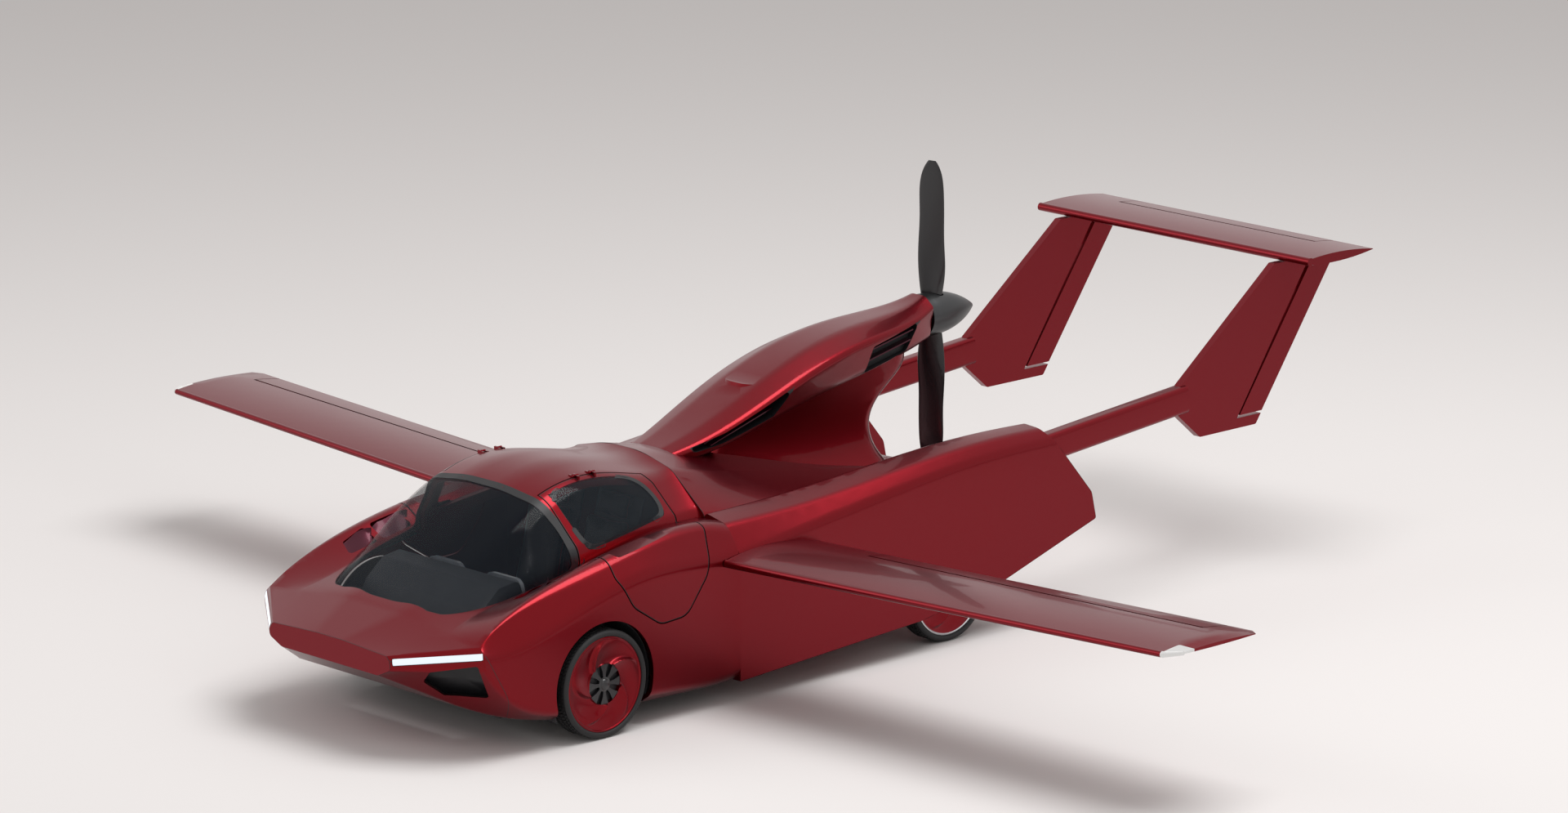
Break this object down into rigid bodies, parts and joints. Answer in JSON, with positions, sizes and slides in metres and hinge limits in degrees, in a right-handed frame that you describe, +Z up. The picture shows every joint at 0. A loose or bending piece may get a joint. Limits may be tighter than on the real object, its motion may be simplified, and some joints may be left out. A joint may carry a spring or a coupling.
{
  "type": "roadable aircraft",
  "caption": "Two-seat flying car with its wings out: car body, side boxes, sliding twin tail booms, top tailplane and a pusher propeller on a dorsal pod.",
  "frame": {"origin": "on the ground under the middle of the whole machine's outline, wings out and tail out", "axes": "+X to the vehicle's left along the span, +Y aft, +Z up"},
  "size_m": [8.2, 7.1, 2.55],
  "materials": {
    "paint": "deep red metallic clear coat",
    "underbody": "matt dark",
    "glass": "tinted",
    "lamp": "clear lit strip",
    "steel": "satin",
    "cast": "rough",
    "seat": "fine grain",
    "trim": "moulded",
    "yoke": "gloss",
    "tyre": "matt rubber",
    "rim": "deep red metallic clear coat",
    "blade": "satin black",
    "spinner": "dark satin"
  },
  "bodies": {
    "root": {"bonnet": "paint", "front_bumper": "paint", "belly_pan": "underbody", "fender_left": "paint", "fender_right": "paint", "cabin_shell": "paint", "windscreen": "glass", "headlamps": "lamp", "front_suspension": "steel", "rear_suspension": "steel", "side_box_left": "paint", "side_box_right": "paint", "rear_fuselage": "paint", "engine_block": "cast", "pylon_pod": "paint", "wing_left": "paint", "wing_right": "paint", "wingtip_lamps": "lamp", "seats": "seat", "dashboard": "trim", "control_yokes": "yoke"},
    "door_left": {"door_left": "paint", "door_glass_left": "glass"},
    "knuckle_left": {"knuckle_left": "steel"},
    "wheel_front_left": {"tyre_front_left": "tyre", "rim_front_left": "rim"},
    "wheel_rear_left": {"tyre_rear_left": "tyre", "rim_rear_left": "rim"},
    "door_right": {"door_right": "paint", "door_glass_right": "glass"},
    "knuckle_right": {"knuckle_right": "steel"},
    "wheel_front_right": {"tyre_front_right": "tyre", "rim_front_right": "rim"},
    "wheel_rear_right": {"tyre_rear_right": "tyre", "rim_rear_right": "rim"},
    "propeller": {"propeller": "blade", "spinner": "spinner"},
    "tail": {"boom_left": "paint", "boom_right": "paint", "fin_left": "paint", "fin_right": "paint", "tailplane": "paint"},
    "elevator": {"elevator": "paint"},
    "rudder_left": {"rudder_left": "paint"},
    "rudder_right": {"rudder_right": "paint"},
    "aileron_left": {"aileron_left": "paint"},
    "aileron_right": {"aileron_right": "paint"}
  },
  "joints": [
    {"name": "door_left_hinge", "type": "hinge", "parent": "root", "child": "door_left", "pos_m": [0.3815, -2.06, 1.297], "axis": [0, -1, 0], "range_deg": [0, 75]},
    {"name": "steer_left", "type": "hinge", "parent": "root", "child": "knuckle_left", "pos_m": [0.82, -2.426, 0.3], "axis": [0, 0, 1], "range_deg": [-30, 30]},
    {"name": "wheel_front_left_spin", "type": "hinge", "parent": "knuckle_left", "child": "wheel_front_left", "pos_m": [0.885, -2.426, 0.3], "axis": [1, 0, 0], "continuous": true},
    {"name": "wheel_rear_left_spin", "type": "hinge", "parent": "root", "child": "wheel_rear_left", "pos_m": [0.78, 0.296, 0.3], "axis": [1, 0, 0], "continuous": true},
    {"name": "door_right_hinge", "type": "hinge", "parent": "root", "child": "door_right", "pos_m": [-0.3815, -2.06, 1.297], "axis": [0, 1, 0], "range_deg": [0, 75]},
    {"name": "steer_right", "type": "hinge", "parent": "root", "child": "knuckle_right", "pos_m": [-0.82, -2.426, 0.3], "axis": [0, 0, 1], "range_deg": [-30, 30]},
    {"name": "wheel_front_right_spin", "type": "hinge", "parent": "knuckle_right", "child": "wheel_front_right", "pos_m": [-0.885, -2.426, 0.3], "axis": [1, 0, 0], "continuous": true},
    {"name": "wheel_rear_right_spin", "type": "hinge", "parent": "root", "child": "wheel_rear_right", "pos_m": [-0.78, 0.296, 0.3], "axis": [1, 0, 0], "continuous": true},
    {"name": "propeller_spin", "type": "hinge", "parent": "root", "child": "propeller", "pos_m": [0, 0.98, 1.655], "axis": [0, 1, 0], "continuous": true},
    {"name": "tail_slide", "type": "slide", "parent": "root", "child": "tail", "axis": [0, -0.9962, -0.0872], "range_m": [0, 0.95]},
    {"name": "elevator_hinge", "type": "hinge", "parent": "tail", "child": "elevator", "pos_m": [0, 3.38, 1.824], "axis": [1, 0, 0], "range_deg": [-20, 20]},
    {"name": "rudder_left_hinge", "type": "hinge", "parent": "tail", "child": "rudder_left", "pos_m": [0.87, 2.64319, 0.93], "axis": [0, 0.5837, 0.812], "range_deg": [-20, 20]},
    {"name": "rudder_right_hinge", "type": "hinge", "parent": "tail", "child": "rudder_right", "pos_m": [-0.87, 2.64319, 0.93], "axis": [0, 0.5837, 0.812], "range_deg": [-20, 20]},
    {"name": "aileron_left_hinge", "type": "hinge", "parent": "root", "child": "aileron_left", "pos_m": [1.5, -0.99023, 0.82119], "axis": [0.9986, 0.046, 0.0249], "range_deg": [-20, 20]},
    {"name": "aileron_right_hinge", "type": "hinge", "parent": "root", "child": "aileron_right", "pos_m": [-1.5, -0.99023, 0.82119], "axis": [0.9986, -0.046, -0.0249], "range_deg": [-20, 20]}
  ],
  "couplings": [
    {"joint": "steer_right", "follows": "steer_left", "ratio": 1},
    {"joint": "rudder_right_hinge", "follows": "rudder_left_hinge", "ratio": 1},
    {"joint": "aileron_right_hinge", "follows": "aileron_left_hinge", "ratio": -1}
  ]
}
